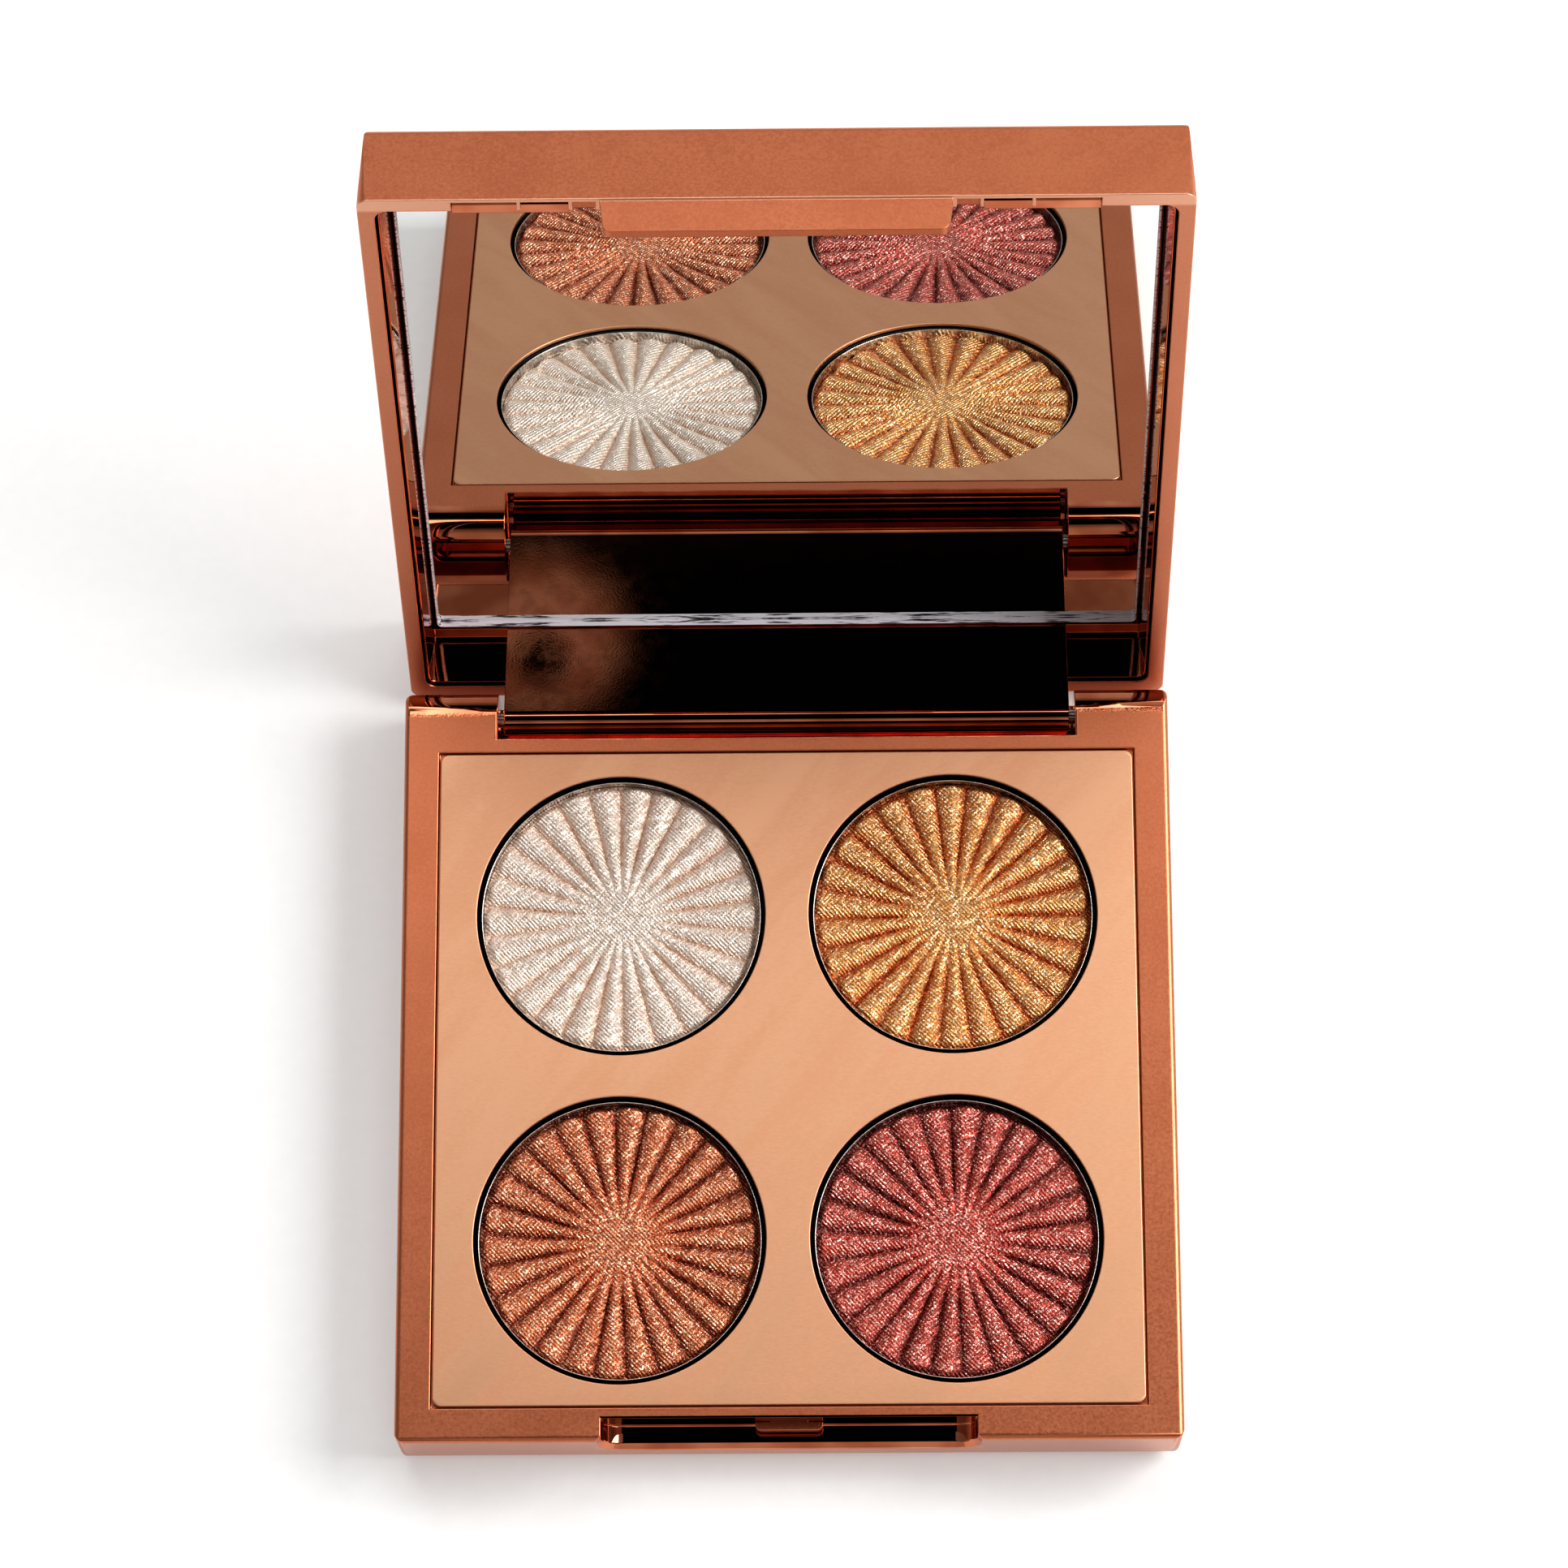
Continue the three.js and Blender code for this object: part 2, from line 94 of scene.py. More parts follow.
# Case
CASE_EDGE = 0.16  # softening of the case's crisp edges
LID_EDGE = 0.1
FRAME_EDGE = 0.1
LABEL_EDGE = 0.04
BEVEL_SEGMENTS = 3
WELD_REACH = 0.03  # slivers shorter than this would throw the bevel outside the case
NOTCH_HALF_WIDTH = 24.35
NOTCH_FLARE_START = -50.3  # where the notch's mouth begins to widen at 45 degrees
NOTCH_BACK = -47.8
NOTCH_FRONT = -50.94
SLOT_HALF_WIDTH = 38.9
SLOT_FRONT = 43.6
REAR_FILLET = (47.6, 48.1)  # where the rounded rear edge turns from satin to polished
MASK_SOFT = 0.12  # width of the change from satin to polished
MASK_CRISP = 0.1
NOTCH_FLOOR = 6.95
SLOT_FLOOR = 3.3
FILLET_HEIGHTS = (3.0, 4.0)
FILLET_HALF_WIDTH = 50.4
WALL_START = (50.75, 50.95)  # distance from the middle where the upright walls begin

# Lid, in the shut position
RIM_HEIGHTS = (13.5, 13.8)  # the rim's face lies between these heights
RIM_FRONT_FADE = (-49.3, -48.7)  # the rim's painted sheen is strongest in front of this band
INNER_HALF_WIDTH = 49.0
INNER_HEIGHTS = (13.9, 25.0)
BAY_HALF_WIDTH = 40.0
BAY_FRONT = -50.5
BAY_BACK = -48.9
BAY_HEIGHTS = (14.3, 17.0)

# ---- Frame facts ------------------------------------------------------------------------

hinge = frame["joints"][0]
PIVOT = Vector(hinge["pos_m"])
OPEN_ANGLE = math.radians(hinge["range_deg"][1])
OPEN = (
    Matrix.Translation(PIVOT)
    @ Matrix.Rotation(-OPEN_ANGLE, 4, "X")
    @ Matrix.Translation(-PIVOT)
)
SHUT = OPEN.inverted()


def node_box(node, shut_lid=False):
    """Lowest and highest corner of a CAD node in millimetres, as an array each."""
    turn = SHUT if shut_lid else Matrix.Identity(4)
    points = [turn @ vertex.co for vertex in frame["nodes"][node].data.vertices]
    points = np.array(points) / MM
    return points.min(axis=0), points.max(axis=0)


# ---- Material building ------------------------------------------------------------------


class Nodes:
    """Adds shader nodes to a tree and joins them up."""

    def __init__(self, tree):
        self.tree = tree

    def node(self, kind, inputs, **settings):
        made = self.tree.nodes.new(kind)
        for name, value in settings.items():
            setattr(made, name, value)
        for key, value in inputs.items():
            self.feed(made.inputs[key], value)
        return made

    def feed(self, socket, value):
        if isinstance(value, bpy.types.NodeSocket):
            self.tree.links.new(value, socket)
        else:
            socket.default_value = value

    def step(self, value, start, end, low=0.0, high=1.0):
        """A smooth step from low to high as value goes from start to end."""
        inputs = {
            "Value": value,
            "From Min": start,
            "From Max": end,
            "To Min": low,
            "To Max": high,
        }
        settings = {"interpolation_type": "SMOOTHSTEP"}
        return self.node("ShaderNodeMapRange", inputs, **settings).outputs["Result"]

    def math(self, operation, first, second=0.0):
        inputs = {0: first, 1: second}
        return self.node("ShaderNodeMath", inputs, operation=operation).outputs[0]

    def total(self, *values):
        out = values[0]
        for value in values[1:]:
            out = self.math("ADD", out, value)
        return out

    def product(self, *values):
        out = values[0]
        for value in values[1:]:
            out = self.math("MULTIPLY", out, value)
        return out


class Look(Nodes):
    """A material whose colour, roughness and relief come from nodes."""

    def __init__(self, name, shut_lid=False, metallic=0.0):
        self.material = bpy.data.materials.new(name)
        self.material.use_nodes = True
        super().__init__(self.material.node_tree)
        self.shader = self.tree.nodes["Principled BSDF"]
        self.shader.inputs["Metallic"].default_value = metallic
        self.place = self.millimetres(shut_lid)

    def millimetres(self, shut_lid):
        """Object coordinates in millimetres, with the lid turned shut if asked."""
        place = self.node("ShaderNodeTexCoord", {}).outputs["Object"]
        if shut_lid:
            inputs = {
                "Vector": place,
                "Location": SHUT.to_translation(),
                "Rotation": (OPEN_ANGLE, 0, 0),
            }
            place = self.node("ShaderNodeMapping", inputs).outputs["Vector"]
        scale = (1 / MM, 1 / MM, 1 / MM)
        inputs = {"Vector": place, "Scale": scale}
        return self.node("ShaderNodeMapping", inputs).outputs["Vector"]

    def stretched(self, scale, turn=(0, 0, 0)):
        """The place in millimetres, turned and then scaled."""
        inputs = {"Vector": self.place, "Rotation": turn}
        turned = self.node("ShaderNodeMapping", inputs).outputs["Vector"]
        inputs = {"Vector": turned, "Scale": scale}
        return self.node("ShaderNodeMapping", inputs).outputs["Vector"]

    def noise(self, per_mm, detail=3.0, roughness=0.5, place=None, distortion=0.0):
        inputs = {
            "Vector": place or self.place,
            "Scale": per_mm,
            "Detail": detail,
            "Roughness": roughness,
            "Distortion": distortion,
        }
        return self.node("ShaderNodeTexNoise", inputs).outputs[0]

    def cells(self, per_mm, place=None):
        """A random colour for each cell of a Voronoi pattern."""
        inputs = {"Vector": place or self.place, "Scale": per_mm}
        return self.node("ShaderNodeTexVoronoi", inputs).outputs["Color"]

    def mix(self, factor, first, second):
        """A colour between two colours."""
        colours = [c if isinstance(c, bpy.types.NodeSocket) else (*c, 1) for c in (first, second)]
        inputs = {0: factor, 6: colours[0], 7: colours[1]}
        return self.node("ShaderNodeMix", inputs, data_type="RGBA").outputs[2]

    def inside(self, value, start, end, soft=MASK_CRISP):
        """1 where value lies between start and end, fading over soft past each of them."""
        return self.product(
            self.step(value, start, start + soft),
            self.below(value, end, soft),
        )

    def below(self, value, end, soft=MASK_CRISP):
        """1 where value is under end, fading to 0 over soft."""
        return self.step(value, end, end + soft, 1.0, 0.0)

    def axes(self):
        split = self.node("ShaderNodeSeparateXYZ", {"Vector": self.place})
        return split.outputs["X"], split.outputs["Y"], split.outputs["Z"]

    def relief(self, height_mm, strength=1.0, normal=None):
        """A bump normal from a height in millimetres."""
        inputs = {"Height": height_mm, "Distance": MM, "Strength": strength}
        if normal is not None:
            inputs["Normal"] = normal
        return self.node("ShaderNodeBump", inputs).outputs["Normal"]

    def glitter(self, normal, per_mm, spread):
        """The normal, tipped a different way in each small cell."""
        tip = self.node(
            "ShaderNodeVectorMath",
            {0: self.cells(per_mm), 1: (0.5, 0.5, 0.5)},
            operation="SUBTRACT",
        ).outputs[0]
        moved = self.node(
            "ShaderNodeVectorMath",
            {0: tip, 1: (spread, spread, spread), 2: normal},
            operation="MULTIPLY_ADD",
        ).outputs[0]
        return self.node("ShaderNodeVectorMath", {0: moved}, operation="NORMALIZE").outputs[0]

    def finish_from(self, pattern, colours, roughness, height_mm, band=(0.3, 0.7)):
        """Finishes a look whose colour, roughness and relief all follow one pattern."""
        colour = self.mix(self.step(pattern, *band), *colours)
        rough = self.step(pattern, 0.3, 0.7, *roughness)
        return self.finish(colour, rough, self.relief(self.product(pattern, height_mm)))

    def finish(self, colour, roughness, normal=None):
        self.feed(self.shader.inputs["Base Color"], colour)
        self.feed(self.shader.inputs["Roughness"], roughness)
        if normal is not None:
            self.feed(self.shader.inputs["Normal"], normal)
        return self.material


# ---- Materials --------------------------------------------------------------------------

SATIN_LIGHT = (0.60, 0.24, 0.134)
SATIN_DARK = (0.54, 0.203, 0.11)
POLISHED_LIGHT = (0.66, 0.27, 0.16)
POLISHED_DARK = (0.50, 0.17, 0.09)
# A painted sheen colour for the lid's rim.
RIM_PAINTED_SHEEN = (0.84, 0.50, 0.36)
# Painted shade for the floors of the lid's rim bays.
BAY_PAINTED_SHADE = (0.10, 0.022, 0.008)
PLATE_LIGHT = (0.76, 0.455, 0.295)
PLATE_DARK = (0.72, 0.41, 0.262)


def satin_surface(look):
    """Colour, roughness and height of metallised plastic with a fine satin grain."""
    clouds = look.noise(0.09, detail=2.0)
    mottle = look.noise(2.4, detail=4.0, roughness=0.65)
    shade = look.total(look.product(clouds, 0.35), look.product(mottle, 0.65))
    colour = look.mix(look.step(shade, 0.36, 0.64), SATIN_DARK, SATIN_LIGHT)
    roughness = look.step(mottle, 0.3, 0.7, 0.35, 0.42)
    grain = look.product(look.noise(5.0, detail=3.0, roughness=0.6), 0.008)
    waves = look.product(look.noise(0.5, detail=2.0), 0.01)
    return colour, roughness, look.total(grain, waves)


def polished_surface(look):
    """Colour, roughness and height of the same plastic with a mirror polish."""
    clouds = look.noise(0.14, detail=2.0)
    colour = look.mix(look.step(clouds, 0.35, 0.65), POLISHED_DARK, POLISHED_LIGHT)
    roughness = look.step(look.noise(0.6, detail=3.0), 0.3, 0.75, 0.015, 0.05)
    peel = look.product(look.noise(4.0, detail=2.0, roughness=0.4), 0.0006)
    return colour, roughness, peel


def satin_and_polished(look, mask, satin):
    """Colour, roughness and height, polished where the mask is 1 and satin where it is 0."""
    polished = polished_surface(look)
    colour = look.mix(mask, satin[0], polished[0])
    rest = look.math("SUBTRACT", 1.0, mask)
    roughness = look.total(look.product(satin[1], rest), look.product(polished[1], mask))
    height = look.total(look.product(satin[2], rest), look.product(polished[2], mask))
    return colour, roughness, height


def base_metal():
    """Satin on top and glossier on the upright walls, with the polished parts of the base."""
    look = Look("rose_gold_base", metallic=1.0)
    x, y, _ = look.axes()
    reach = look.math("MAXIMUM", look.math("ABSOLUTE", x), look.math("ABSOLUTE", y))
    on_wall = look.step(reach, *WALL_START)
    colour, roughness, height = satin_surface(look)
    roughness = look.product(roughness, look.step(on_wall, 0.0, 1.0, 1.0, 0.5))
    satin = (colour, roughness, height)
    colour, roughness, height = satin_and_polished(look, base_polish(look), satin)
    return look.finish(colour, roughness, look.relief(height))


def lid_metal():
    """Satin with a painted sheen on the rim, polished inside the rim, and painted shade in the
    rim's bays.
    """
    look = Look("rose_gold_lid", shut_lid=True, metallic=1.0)
    _, y, z = look.axes()
    colour, roughness, height = satin_surface(look)
    on_rim = look.inside(z, *RIM_HEIGHTS)
    # Painted sheen: the rim is painted paler, most of all towards its front.
    pale = look.product(on_rim, look.step(y, *RIM_FRONT_FADE, low=0.9, high=0.25))
    colour = look.mix(pale, colour, RIM_PAINTED_SHEEN)
    satin = (colour, roughness, height)
    in_bays = lid_bays(look)
    mask = look.math("MAXIMUM", lid_polish(look), in_bays)
    colour, roughness, height = satin_and_polished(look, mask, satin)
    # Painted shade: the floors of the rim's bays are painted dark.
    colour = look.mix(look.product(in_bays, 0.75), colour, BAY_PAINTED_SHADE)
    return look.finish(colour, roughness, look.relief(height))


def base_polish(look):
    """The thumb notch, the hinge slot and the rounded rear edge are polished."""
    x, y, z = look.axes()
    off_centre = look.math("ABSOLUTE", x)
    flare = look.math("MAXIMUM", look.math("SUBTRACT", NOTCH_FLARE_START, y), 0.0)
    from_middle = look.math("SUBTRACT", off_centre, flare)
    in_notch = look.product(
        look.below(from_middle, NOTCH_HALF_WIDTH, MASK_SOFT),
        look.step(y, NOTCH_FRONT - MASK_SOFT, NOTCH_FRONT),
        look.below(y, NOTCH_BACK, MASK_SOFT),
        look.step(z, NOTCH_FLOOR, NOTCH_FLOOR + MASK_CRISP),
    )
    in_slot = look.product(
        look.below(off_centre, SLOT_HALF_WIDTH, MASK_SOFT),
        look.step(y, SLOT_FRONT, SLOT_FRONT + MASK_SOFT),
        look.step(z, SLOT_FLOOR, SLOT_FLOOR + MASK_CRISP),
    )
    speckle = look.product(look.noise(4.5, detail=2.0), 1.4)
    on_fillet = look.product(
        look.step(look.math("ADD", y, speckle), *REAR_FILLET),
        look.below(off_centre, FILLET_HALF_WIDTH, 0.2),
        look.step(z, *FILLET_HEIGHTS),
    )
    return look.math("MAXIMUM", look.math("MAXIMUM", in_notch, in_slot), on_fillet)


def lid_polish(look):
    """The faces inside the lid's rim are polished."""
    x, y, z = look.axes()
    return look.product(
        look.below(look.math("ABSOLUTE", x), INNER_HALF_WIDTH),
        look.below(look.math("ABSOLUTE", y), INNER_HALF_WIDTH),
        look.inside(z, *INNER_HEIGHTS),
    )


def lid_bays(look):
    """The floors of the two deeper bays in the lid's front rim."""
    x, y, z = look.axes()
    return look.product(
        look.below(look.math("ABSOLUTE", x), BAY_HALF_WIDTH),
        look.inside(y, BAY_FRONT, BAY_BACK),
        look.inside(z, *BAY_HEIGHTS),
    )


def satin_rose_gold(name):
    look = Look(name, metallic=1.0)
    colour, roughness, height = satin_surface(look)
    return look.finish(colour, roughness, look.relief(height))


def polished_rose_gold(name, shut_lid=False):
    look = Look(name, shut_lid, metallic=1.0)
    colour, roughness, height = polished_surface(look)
    return look.finish(colour, roughness, look.relief(height))


def peach_satin():
    """The cover plate: a satin film whose slight waviness streaks the reflections."""
    look = Look("peach_satin_film", metallic=1.0)
    streak_place = look.stretched((0.16, 0.035, 1.0), (0, 0, math.radians(38)))
    streaks = look.noise(1.0, detail=2.5, roughness=0.5, place=streak_place, distortion=0.6)
    grain_place = look.stretched((1.0, 3.0, 1.0))
    grain = look.noise(1.6, detail=3.0, roughness=0.6, place=grain_place)
    shade = look.total(look.product(streaks, 0.55), look.product(grain, 0.45))
    colour = look.mix(look.step(shade, 0.36, 0.62), PLATE_DARK, PLATE_LIGHT)
    roughness = look.step(streaks, 0.3, 0.7, 0.5, 0.44)
    height = look.total(look.product(streaks, 0.02), look.product(grain, 0.006))
    return look.finish(colour, roughness, look.relief(height))


TWILL_TURN = (0, 0, math.radians(-45))
FLAKES_PER_MM = 6.0
FLAKE_TIP = 0.5  # how far a flake's normal tips away from the surface

# Body colour, painted glint colour, dark colour (for darker patches and for painted shade in the
# grooves) and metallic share of each powder
POWDER_TONES = {
    "pearl": ((0.95, 0.84, 0.74), (1.0, 0.97, 0.93), (0.74, 0.52, 0.40), 0.5),
    "gold": ((1.0, 0.55, 0.20), (1.0, 0.90, 0.68), (0.46, 0.10, 0.010), 1.0),
    "bronze": ((0.91, 0.315, 0.148), (1.0, 0.80, 0.62), (0.22, 0.030, 0.005), 1.0),
    "rosewood": ((0.76, 0.160, 0.120), (1.0, 0.70, 0.62), (0.14, 0.008, 0.004), 1.0),
}


def powder_height(look, clumps):
    """Height in millimetres of the twill imprint, the clumps and the grit."""
    wave = look.node(
        "ShaderNodeTexWave",
        {
            "Vector": look.stretched((1.0, 1.0, 1.0), TWILL_TURN),
            "Scale": 0.75,
            "Distortion": 0.8,
            "Detail": 1.0,
        },
        bands_direction="X",
    ).outputs["Fac"]
    across_threads = look.stretched((0.6, 3.4, 1.0), TWILL_TURN)
    knots = look.noise(1.0, detail=1.0, roughness=0.5, place=across_threads)
    threads = look.product(wave, look.step(knots, 0.3, 0.62))
    grit = look.noise(9.0, detail=2.0, roughness=0.7)
    return look.total(
        look.product(threads, 0.15),
        look.product(clumps, 0.06),
        look.product(grit, 0.03),
    )


def powder(shade):
    """Pressed pearlescent powder with a twill imprint, painted glints on mica flakes and painted
    shade in its grooves.
    """
    body, glint, dark, metallic = POWDER_TONES[shade]
    look = Look("powder_" + shade, metallic=metallic)
    clumps = look.noise(2.6, detail=4.0, roughness=0.7)
    groove = look.node("ShaderNodeAttribute", {}, attribute_name="groove").outputs["Fac"]
    flakes = look.node("ShaderNodeSeparateColor", {"Color": look.cells(FLAKES_PER_MM)})
    glinting = look.step(flakes.outputs["Red"], 0.62, 0.95)
    patchy = look.step(clumps, 0.35, 0.68)
    colour = look.mix(look.step(patchy, 0.0, 1.0, 0.5, 0.0), body, dark)
    # Painted shade: the grooves are painted towards the dark colour.
    colour = look.mix(look.product(groove, 0.9), colour, dark)
    # Painted glints: flake cells are painted the paler glint colour, less so in the grooves'
    # painted shade.
    glints = look.product(glinting, look.step(groove, 0.2, 1.0, 0.85, 0.3))
    colour = look.mix(glints, colour, glint)
    roughness = look.step(clumps, 0.3, 0.7, 0.44, 0.32)
    height = powder_height(look, clumps)
    normal = look.glitter(look.relief(height), FLAKES_PER_MM, FLAKE_TIP)
    look.shader.inputs["Coat Weight"].default_value = 0.5
    look.shader.inputs["Coat Roughness"].default_value = 0.3
    look.shader.inputs["Coat IOR"].default_value = 1.6
    look.feed(look.shader.inputs["Coat Normal"], normal)
    return look.finish(colour, roughness, normal)


def tinplate():
    look = Look("tinplate_sheet", metallic=1.0)
    rolled = look.noise(1.0, detail=4.0, roughness=0.6, place=look.stretched((0.3, 4.0, 1.0)))
    colours = ((0.62, 0.60, 0.57), (0.84, 0.82, 0.80))
    return look.finish_from(rolled, colours, (0.2, 0.34), 0.004)


def silvered_mirror():
    look = Look("silvered_mirror", shut_lid=True, metallic=1.0)
    haze = look.noise(0.06, detail=3.0)
    colour = look.mix(look.step(haze, 0.3, 0.7), (0.88, 0.90, 0.89), (0.89, 0.908, 0.898))
    roughness = look.step(look.noise(0.8, detail=4.0), 0.35, 0.8, 0.004, 0.02)
    return look.finish(colour, roughness)


def ground_glass():
    look = Look("ground_glass_edge", shut_lid=True)
    grind = look.noise(4.0, detail=3.0, roughness=0.6, place=look.stretched((0.05, 1.0, 1.0)))
    colours = ((0.06, 0.05, 0.05), (0.84, 0.82, 0.88))
    return look.finish_from(grind, colours, (0.2, 0.4), 0.02, band=(0.38, 0.46))


def black_plastic():
    look = Look("black_tray_plastic")
    grain = look.noise(4.0, detail=3.0, roughness=0.6)
    colours = ((0.006, 0.005, 0.005), (0.014, 0.012, 0.012))
    return look.finish_from(grain, colours, (0.42, 0.55), 0.01)


def drawn_steel():
    look = Look("drawn_steel_wire", metallic=1.0)
    drawn = look.noise(2.0, detail=4.0, roughness=0.6, place=look.stretched((0.1, 6.0, 6.0)))
    colours = ((0.46, 0.45, 0.43), (0.66, 0.65, 0.63))
    return look.finish_from(drawn, colours, (0.22, 0.38), 0.006)


def dried_glue():
    look = Look("dried_glue")
    lumps = look.noise(0.5, detail=3.0)
    colours = ((0.68, 0.62, 0.42), (0.82, 0.78, 0.62))
    return look.finish_from(lumps, colours, (0.35, 0.6), 0.1)


def foam():
    look = Look("foam_tape", shut_lid=True)
    bubbles = look.noise(3.0, detail=3.0, roughness=0.7)
    colours = ((0.70, 0.68, 0.64), (0.90, 0.88, 0.85))
    return look.finish_from(bubbles, colours, (0.8, 0.95), 0.1)


def label_paper():
    look = Look("label_paper")
    fibres = look.noise(2.5, detail=5.0, roughness=0.7, place=look.stretched((1.0, 0.35, 1.0)))
    colours = ((0.84, 0.81, 0.76), (0.93, 0.91, 0.87))
    return look.finish_from(fibres, colours, (0.55, 0.7), 0.01)


# ---- Mesh building ----------------------------------------------------------------------


def flatten_normals(piece):
    """Makes wide flat faces keep their own normal beside rounded edges."""
    normals = piece.modifiers.new("normals", "WEIGHTED_NORMAL")
    normals.weight = 100
    normals.keep_sharp = True


def make_piece(name, points, faces, material, body, stands_for, shut_lid=False):
    """A piece from points in millimetres, riding on a body in place of a CAD node."""
    points = np.asarray(points, float) * MM
    if shut_lid:
        turn = np.array(OPEN)
        points = points @ turn[:3, :3].T + turn[:3, 3]
    mesh = bpy.data.meshes.new(name)
    mesh.from_pydata(points.tolist(), [], faces)
    mesh.materials.append(material)
    mesh.shade_smooth()
    mesh.set_sharp_from_angle(angle=math.radians(40))
    piece = bpy.data.objects.new(name, mesh)
    bpy.context.scene.collection.objects.link(piece)
    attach(piece, body)
    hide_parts(stands_for)
    flatten_normals(piece)
    return piece


def ring_faces(lower, upper, count):
    """Quads between two closed rings that start at those indices."""
    after = [(step + 1) % count for step in range(count)]
    return [(lower + s, lower + after[s], upper + after[s], upper + s) for s in range(count)]


def circle(centre, radius, angles):
    """A row of (x, y) for each angle."""
    x = centre[0] + radius * np.cos(angles)
    y = centre[1] + radius * np.sin(angles)
    return np.column_stack([x, y])


def lathe(profile, centre, steps):
    """Points and faces of a profile of (radius, height), closed at both ends on the axis."""
    angles = np.arange(steps) * math.tau / steps
    points = []
    faces = []
    for radius, height in profile:
        ring = np.column_stack([circle(centre, radius, angles), np.full(steps, height)])
        points.extend(ring.tolist())
    rings = len(profile)
    for index in range(rings - 1):
        faces.extend(ring_faces(index * steps, (index + 1) * steps, steps))
    faces.append(tuple(reversed(range(steps))))
    faces.append(tuple(range((rings - 1) * steps, rings * steps)))
    return points, faces


def arc(centre_r, centre_z, radius, start, end, steps):
    """Profile points round a quarter turn or so, angles in degrees."""
    angles = np.radians(np.linspace(start, end, steps + 1))
    return [(centre_r + radius * math.cos(a), centre_z + radius * math.sin(a)) for a in angles]


def circle_loop(centre, radius):
    return circle(centre, radius, np.arange(HOLE_STEPS) * math.tau / HOLE_STEPS)


def rounded_rectangle(low, high, radius, corner_steps=8):
    """An anticlockwise loop with round corners."""
    loop = []
    corners = [
        (high[0] - radius, high[1] - radius, 0),
        (low[0] + radius, high[1] - radius, 90),
        (low[0] + radius, low[1] + radius, 180),
        (high[0] - radius, low[1] + radius, 270),
    ]
    for x, y, start in corners:
        for step in range(corner_steps + 1):
            angle = math.radians(start + 90 * step / corner_steps)
            loop.append((x + radius * math.cos(angle), y + radius * math.sin(angle)))
    return np.array(loop)


def fill_between(loops):
    """Triangles of the flat region inside the first loop and outside the other, round ones."""
    points = [Vector(p) for loop in loops for p in loop]
    edges = []
    start = 0
    for loop in loops:
        count = len(loop)
        edges.extend((start + s, start + (s + 1) % count) for s in range(count))
        start += count
    result = geometry.delaunay_2d_cdt(points, edges, [], 1, 1e-6)
    found = result[2]
    origin = [ids[0] for ids in result[3]]  # the given point behind each point found
    middles = [loop.mean(axis=0) for loop in loops[1:]]
    radii = [np.linalg.norm(loop[0] - middle) for loop, middle in zip(loops[1:], middles)]
    kept = []
    for face in found:
        corners = [origin[i] for i in face]
        middle = np.mean([points[i] for i in corners], axis=0)
        away = [np.linalg.norm(middle - hole) for hole in middles]
        if all(distance > radius for distance, radius in zip(away, radii)):
            kept.append(corners)
    return kept


def slab(loop_at, steps, hole_at=()):
    """A flat piece with round edges. loop_at and hole_at give a loop for an inset, and steps
    lists (inset, height) from the top face down to the bottom face."""
    makers = [loop_at, *hole_at]
    counts = [len(maker(0.0)) for maker in makers]
    per_level = sum(counts)
    points = []
    faces = []
    for inset, height in steps:
        for maker in makers:
            points.extend((x, y, height) for x, y in maker(inset))
    for level in range(len(steps) - 1):
        start = level * per_level
        for index, count in enumerate(counts):
            quads = ring_faces(start + per_level, start, count)
            faces.extend(quads if index == 0 else [tuple(reversed(q)) for q in quads])
            start += count
    top = fill_between([maker(steps[0][0]) for maker in makers])
    last = (len(steps) - 1) * per_level
    faces.extend(tuple(face) for face in top)
    faces.extend(tuple(last + i for i in reversed(face)) for face in top)
    return points, faces


def round_edge(radius, top, bottom, steps=3):
    """(inset, height) down a rounded edge and then straight to the bottom."""
    angles = np.radians(np.linspace(90, 0, steps + 1))
    edge = [(radius * (1 - math.cos(a)), top - radius * (1 - math.sin(a))) for a in angles]
    return [*edge, (0.0, bottom)]


# ---- Pieces of the base -----------------------------------------------------------------


def smooth(values, start, end):
    """A smooth step from 0 to 1 as the values go from start to end."""
    share = np.clip((values - start) / (end - start), 0, 1)
    return share * share * (3 - 2 * share)


def uneven(x, y, draws):
    """Slow random waves over a powder's face, from -1 to 1 or so."""
    total = np.zeros_like(x)
    for _ in range(UNEVEN_WAVES):
        length = draws.uniform(*UNEVEN_LENGTHS)
        heading = draws.uniform(0, math.tau)
        phase = draws.uniform(0, math.tau)
        along = x * math.cos(heading) + y * math.sin(heading)
        total += np.sin(along * math.tau / length + phase)
    return total / math.sqrt(UNEVEN_WAVES)


def ring_shares():
    """Share of the cake's radius at which each ring of the mesh lies."""
    coarse = np.linspace(INNER_SHARE, FINE_SHARES[0], POWDER_RINGS - FINE_RINGS)
    fine = np.linspace(FINE_SHARES[1], 1.0, FINE_RINGS)
    return np.concatenate([coarse, fine])


